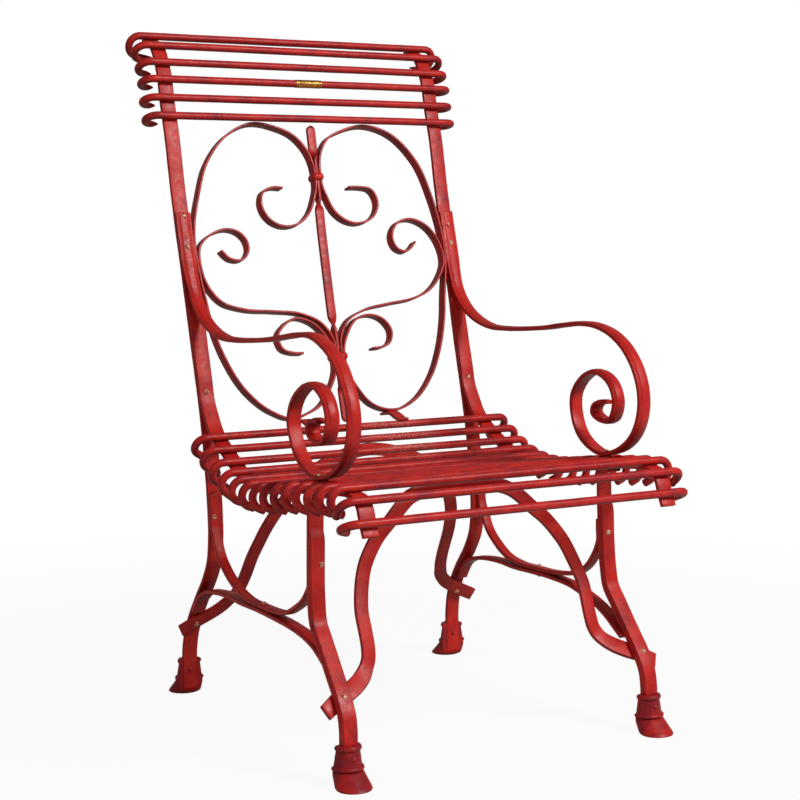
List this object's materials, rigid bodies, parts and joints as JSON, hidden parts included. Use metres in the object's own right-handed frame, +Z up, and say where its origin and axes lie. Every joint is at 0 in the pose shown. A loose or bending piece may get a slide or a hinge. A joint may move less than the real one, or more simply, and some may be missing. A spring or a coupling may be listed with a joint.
{
  "type": "garden chair",
  "caption": "Red painted wrought iron garden armchair with a slatted rod seat, scrolled arms, a scrollwork back and cast hoof feet",
  "frame": {"origin": "on the floor, at the middle of the overall box in X and Y", "axes": "+X across the chair to the right as seen from the front, +Y from the seat's front to the back, +Z up; the chair faces -Y"},
  "size_m": [0.566, 0.7418, 1.0419],
  "materials": {
    "red_paint": "gloss, worn",
    "worn_iron": "bare, worn",
    "brass": "dull"
  },
  "bodies": {
    "root": {"upright_left": "red_paint", "upright_right": "red_paint", "seat_rail_left": "red_paint", "seat_rail_right": "red_paint", "arm_left": "red_paint", "arm_right": "red_paint", "front_leg_left": "red_paint", "front_leg_right": "red_paint", "u_brace_left": "red_paint", "u_brace_right": "red_paint", "leg_arch_left": "red_paint", "leg_arch_right": "red_paint", "cross_brace_front": "red_paint", "cross_brace_rear": "red_paint", "foot_front_left": "red_paint", "foot_front_right": "red_paint", "foot_rear_left": "red_paint", "foot_rear_right": "red_paint", "back_rod_1": "red_paint", "back_rod_2": "red_paint", "back_rod_3": "red_paint", "back_rod_4": "red_paint", "back_rod_5": "red_paint", "back_rod_6": "red_paint", "seat_rod_1": "red_paint", "seat_rod_2": "red_paint", "seat_rod_3": "red_paint", "seat_rod_4": "red_paint", "seat_rod_5": "red_paint", "seat_rod_6": "red_paint", "seat_rod_7": "red_paint", "seat_rod_8": "red_paint", "seat_rod_9": "red_paint", "seat_rod_10": "red_paint", "seat_rod_11": "red_paint", "seat_rod_12": "red_paint", "seat_rod_13": "red_paint", "seat_rod_14": "red_paint", "front_rod_upper": "red_paint", "front_rod_lower": "red_paint", "centre_bar": "red_paint", "outer_scroll_left": "red_paint", "outer_scroll_right": "red_paint", "s_scroll_left": "red_paint", "s_scroll_right": "red_paint", "collar_upper": "red_paint", "collar_lower": "red_paint", "scroll_bracket_left": "red_paint", "scroll_bracket_right": "red_paint", "label_band": "brass", "arm_rivets": "worn_iron", "seat_rivets": "worn_iron", "brace_rivets": "worn_iron", "cross_brace_rivets": "worn_iron", "foot_rivets": "worn_iron"}
  },
  "joints": []
}
